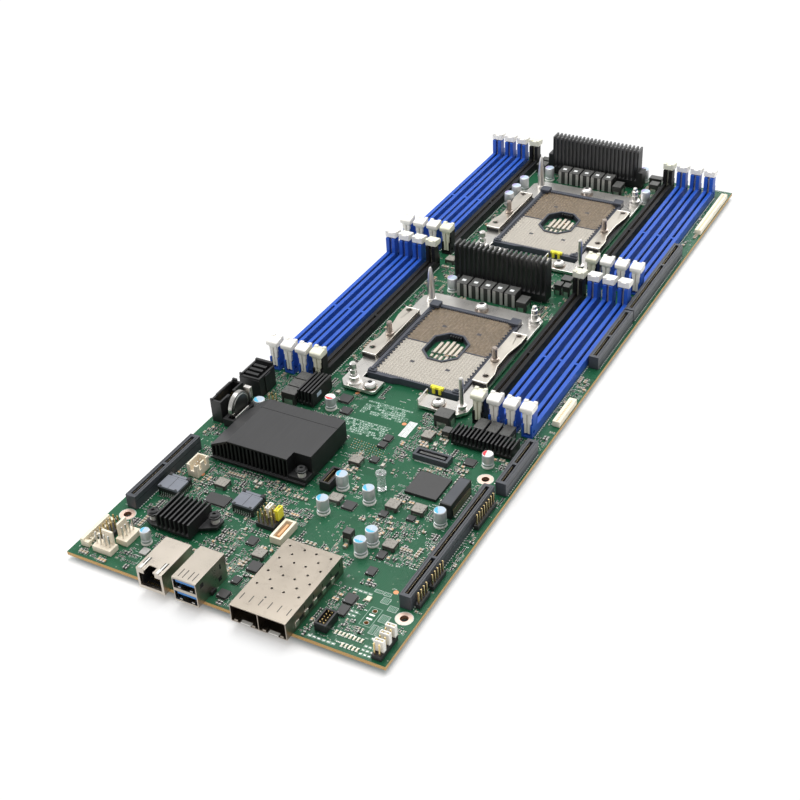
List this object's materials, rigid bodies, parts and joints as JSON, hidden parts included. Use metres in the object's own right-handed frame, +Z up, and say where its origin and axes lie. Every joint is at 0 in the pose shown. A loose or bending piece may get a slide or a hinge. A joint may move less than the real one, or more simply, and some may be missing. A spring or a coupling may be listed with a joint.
{
  "type": "half-width dual-socket server board",
  "caption": "Half-width two-processor server board with latching memory sockets, riser slots, finned heat sinks and front network, USB and pluggable module ports.",
  "frame": {"origin": "bottom centre of the whole assembly: midway across the board, midway between the port faces and the rear board edge, on the underside of the back plates", "axes": "+Y runs along the board from the front ports to the rear edge, +X to the right seen from the front ports, +Z up out of the component side"},
  "size_m": [0.1728, 0.4848, 0.0322],
  "materials": {
    "solder_mask_green": "glossy green solder mask over copper",
    "plastic_blue": "moulded blue plastic",
    "plastic_black": "moulded black plastic",
    "plastic_slate": "moulded slate grey plastic",
    "contact_field": "pale moulding filled with fine gold contacts",
    "plated_steel": "nickel-plated stamped steel",
    "anodised_black": "black anodised aluminium",
    "screw_steel": "bright plated steel",
    "choke_grey": "pressed grey ferrite",
    "can_aluminium": "bright drawn aluminium",
    "plastic_charcoal": "moulded charcoal plastic",
    "cell_steel": "bright steel cell can",
    "tin_shell": "tin-plated folded steel",
    "plastic_cream": "moulded cream plastic",
    "plastic_white": "moulded white plastic",
    "plastic_bluegrey": "moulded blue-grey plastic",
    "chip_black": "black moulded chip package"
  },
  "bodies": {
    "board": {"back_plates": "plated_steel", "battery_holder": "plastic_black", "bolster_plates": "plated_steel", "capacitor_cans": "can_aluminium", "card_slots": "plastic_charcoal", "chip_heatsinks": "anodised_black", "chips": "chip_black", "chokes": "choke_grey", "contact_fields": "contact_field", "dimm_sockets_black": "plastic_black", "dimm_sockets_blue": "plastic_blue", "fasteners": "screw_steel", "flash_sockets": "plastic_black", "guide_posts": "plated_steel", "jumper_shunts": "plastic_white", "leaf_springs": "plated_steel", "module_cage": "tin_shell", "network_jack": "tin_shell", "pcb": "solder_mask_green", "pin_headers": "plastic_black", "power_connectors": "plastic_black", "regulator_heatsinks": "anodised_black", "socket_rims": "plastic_slate", "usb_stack": "tin_shell", "wire_headers": "plastic_cream"},
    "latch_01_front": {"latch_01_front": "plastic_white"},
    "latch_01_rear": {"latch_01_rear": "plastic_white"},
    "latch_02_front": {"latch_02_front": "plastic_white"},
    "latch_02_rear": {"latch_02_rear": "plastic_white"},
    "latch_03_front": {"latch_03_front": "plastic_white"},
    "latch_03_rear": {"latch_03_rear": "plastic_white"},
    "latch_04_front": {"latch_04_front": "plastic_white"},
    "latch_04_rear": {"latch_04_rear": "plastic_white"},
    "latch_05_front": {"latch_05_front": "plastic_white"},
    "latch_05_rear": {"latch_05_rear": "plastic_white"},
    "latch_06_front": {"latch_06_front": "plastic_white"},
    "latch_06_rear": {"latch_06_rear": "plastic_white"},
    "latch_07_front": {"latch_07_front": "plastic_white"},
    "latch_07_rear": {"latch_07_rear": "plastic_white"},
    "latch_08_front": {"latch_08_front": "plastic_white"},
    "latch_08_rear": {"latch_08_rear": "plastic_white"},
    "latch_09_front": {"latch_09_front": "plastic_white"},
    "latch_09_rear": {"latch_09_rear": "plastic_white"},
    "latch_10_front": {"latch_10_front": "plastic_white"},
    "latch_10_rear": {"latch_10_rear": "plastic_white"},
    "latch_11_front": {"latch_11_front": "plastic_white"},
    "latch_11_rear": {"latch_11_rear": "plastic_white"},
    "latch_12_front": {"latch_12_front": "plastic_white"},
    "latch_12_rear": {"latch_12_rear": "plastic_white"},
    "latch_13_front": {"latch_13_front": "plastic_white"},
    "latch_13_rear": {"latch_13_rear": "plastic_white"},
    "latch_14_front": {"latch_14_front": "plastic_white"},
    "latch_14_rear": {"latch_14_rear": "plastic_white"},
    "latch_15_front": {"latch_15_front": "plastic_white"},
    "latch_15_rear": {"latch_15_rear": "plastic_white"},
    "latch_16_front": {"latch_16_front": "plastic_white"},
    "latch_16_rear": {"latch_16_rear": "plastic_white"},
    "flash_lid_left": {"flash_lid_left": "plastic_bluegrey"},
    "flash_lid_right": {"flash_lid_right": "plastic_bluegrey"},
    "coin_cell": {"coin_cell": "cell_steel"}
  },
  "joints": [
    {"name": "latch_01_front_hinge", "type": "hinge", "parent": "board", "child": "latch_01_front", "pos_m": [-0.07945, -0.0622, 0.0074], "axis": [1, 0, 0], "range_deg": [0, 16]},
    {"name": "latch_01_rear_hinge", "type": "hinge", "parent": "board", "child": "latch_01_rear", "pos_m": [-0.07945, 0.075, 0.0074], "axis": [-1, 0, 0], "range_deg": [0, 16]},
    {"name": "latch_02_front_hinge", "type": "hinge", "parent": "board", "child": "latch_02_front", "pos_m": [-0.0701, -0.0622, 0.0074], "axis": [1, 0, 0], "range_deg": [0, 16]},
    {"name": "latch_02_rear_hinge", "type": "hinge", "parent": "board", "child": "latch_02_rear", "pos_m": [-0.0701, 0.075, 0.0074], "axis": [-1, 0, 0], "range_deg": [0, 16]},
    {"name": "latch_03_front_hinge", "type": "hinge", "parent": "board", "child": "latch_03_front", "pos_m": [-0.06075, -0.0622, 0.0074], "axis": [1, 0, 0], "range_deg": [0, 16]},
    {"name": "latch_03_rear_hinge", "type": "hinge", "parent": "board", "child": "latch_03_rear", "pos_m": [-0.06075, 0.075, 0.0074], "axis": [-1, 0, 0], "range_deg": [0, 16]},
    {"name": "latch_04_front_hinge", "type": "hinge", "parent": "board", "child": "latch_04_front", "pos_m": [-0.0514, -0.0622, 0.0074], "axis": [1, 0, 0], "range_deg": [0, 16]},
    {"name": "latch_04_rear_hinge", "type": "hinge", "parent": "board", "child": "latch_04_rear", "pos_m": [-0.0514, 0.075, 0.0074], "axis": [-1, 0, 0], "range_deg": [0, 16]},
    {"name": "latch_05_front_hinge", "type": "hinge", "parent": "board", "child": "latch_05_front", "pos_m": [0.046, -0.0622, 0.0074], "axis": [1, 0, 0], "range_deg": [0, 16]},
    {"name": "latch_05_rear_hinge", "type": "hinge", "parent": "board", "child": "latch_05_rear", "pos_m": [0.046, 0.075, 0.0074], "axis": [-1, 0, 0], "range_deg": [0, 16]},
    {"name": "latch_06_front_hinge", "type": "hinge", "parent": "board", "child": "latch_06_front", "pos_m": [0.05535, -0.0622, 0.0074], "axis": [1, 0, 0], "range_deg": [0, 16]},
    {"name": "latch_06_rear_hinge", "type": "hinge", "parent": "board", "child": "latch_06_rear", "pos_m": [0.05535, 0.075, 0.0074], "axis": [-1, 0, 0], "range_deg": [0, 16]},
    {"name": "latch_07_front_hinge", "type": "hinge", "parent": "board", "child": "latch_07_front", "pos_m": [0.0647, -0.0622, 0.0074], "axis": [1, 0, 0], "range_deg": [0, 16]},
    {"name": "latch_07_rear_hinge", "type": "hinge", "parent": "board", "child": "latch_07_rear", "pos_m": [0.0647, 0.075, 0.0074], "axis": [-1, 0, 0], "range_deg": [0, 16]},
    {"name": "latch_08_front_hinge", "type": "hinge", "parent": "board", "child": "latch_08_front", "pos_m": [0.07405, -0.0622, 0.0074], "axis": [1, 0, 0], "range_deg": [0, 16]},
    {"name": "latch_08_rear_hinge", "type": "hinge", "parent": "board", "child": "latch_08_rear", "pos_m": [0.07405, 0.075, 0.0074], "axis": [-1, 0, 0], "range_deg": [0, 16]},
    {"name": "latch_09_front_hinge", "type": "hinge", "parent": "board", "child": "latch_09_front", "pos_m": [-0.07945, 0.0941, 0.0074], "axis": [1, 0, 0], "range_deg": [0, 16]},
    {"name": "latch_09_rear_hinge", "type": "hinge", "parent": "board", "child": "latch_09_rear", "pos_m": [-0.07945, 0.2313, 0.0074], "axis": [-1, 0, 0], "range_deg": [0, 16]},
    {"name": "latch_10_front_hinge", "type": "hinge", "parent": "board", "child": "latch_10_front", "pos_m": [-0.0701, 0.0941, 0.0074], "axis": [1, 0, 0], "range_deg": [0, 16]},
    {"name": "latch_10_rear_hinge", "type": "hinge", "parent": "board", "child": "latch_10_rear", "pos_m": [-0.0701, 0.2313, 0.0074], "axis": [-1, 0, 0], "range_deg": [0, 16]},
    {"name": "latch_11_front_hinge", "type": "hinge", "parent": "board", "child": "latch_11_front", "pos_m": [-0.06075, 0.0941, 0.0074], "axis": [1, 0, 0], "range_deg": [0, 16]},
    {"name": "latch_11_rear_hinge", "type": "hinge", "parent": "board", "child": "latch_11_rear", "pos_m": [-0.06075, 0.2313, 0.0074], "axis": [-1, 0, 0], "range_deg": [0, 16]},
    {"name": "latch_12_front_hinge", "type": "hinge", "parent": "board", "child": "latch_12_front", "pos_m": [-0.0514, 0.0941, 0.0074], "axis": [1, 0, 0], "range_deg": [0, 16]},
    {"name": "latch_12_rear_hinge", "type": "hinge", "parent": "board", "child": "latch_12_rear", "pos_m": [-0.0514, 0.2313, 0.0074], "axis": [-1, 0, 0], "range_deg": [0, 16]},
    {"name": "latch_13_front_hinge", "type": "hinge", "parent": "board", "child": "latch_13_front", "pos_m": [0.046, 0.0941, 0.0074], "axis": [1, 0, 0], "range_deg": [0, 16]},
    {"name": "latch_13_rear_hinge", "type": "hinge", "parent": "board", "child": "latch_13_rear", "pos_m": [0.046, 0.2313, 0.0074], "axis": [-1, 0, 0], "range_deg": [0, 16]},
    {"name": "latch_14_front_hinge", "type": "hinge", "parent": "board", "child": "latch_14_front", "pos_m": [0.05535, 0.0941, 0.0074], "axis": [1, 0, 0], "range_deg": [0, 16]},
    {"name": "latch_14_rear_hinge", "type": "hinge", "parent": "board", "child": "latch_14_rear", "pos_m": [0.05535, 0.2313, 0.0074], "axis": [-1, 0, 0], "range_deg": [0, 16]},
    {"name": "latch_15_front_hinge", "type": "hinge", "parent": "board", "child": "latch_15_front", "pos_m": [0.0647, 0.0941, 0.0074], "axis": [1, 0, 0], "range_deg": [0, 16]},
    {"name": "latch_15_rear_hinge", "type": "hinge", "parent": "board", "child": "latch_15_rear", "pos_m": [0.0647, 0.2313, 0.0074], "axis": [-1, 0, 0], "range_deg": [0, 16]},
    {"name": "latch_16_front_hinge", "type": "hinge", "parent": "board", "child": "latch_16_front", "pos_m": [0.07405, 0.0941, 0.0074], "axis": [1, 0, 0], "range_deg": [0, 16]},
    {"name": "latch_16_rear_hinge", "type": "hinge", "parent": "board", "child": "latch_16_rear", "pos_m": [0.07405, 0.2313, 0.0074], "axis": [-1, 0, 0], "range_deg": [0, 16]},
    {"name": "flash_lid_left_hinge", "type": "hinge", "parent": "board", "child": "flash_lid_left", "pos_m": [-0.06635, -0.1726, 0.00925], "axis": [-1, 0, 0], "range_deg": [0, 100]},
    {"name": "flash_lid_right_hinge", "type": "hinge", "parent": "board", "child": "flash_lid_right", "pos_m": [-0.02515, -0.1682, 0.00925], "axis": [-1, 0, 0], "range_deg": [0, 100]},
    {"name": "coin_cell_pull", "type": "slide", "parent": "board", "child": "coin_cell", "axis": [0, 0, 1], "range_m": [0, 0.014]}
  ]
}
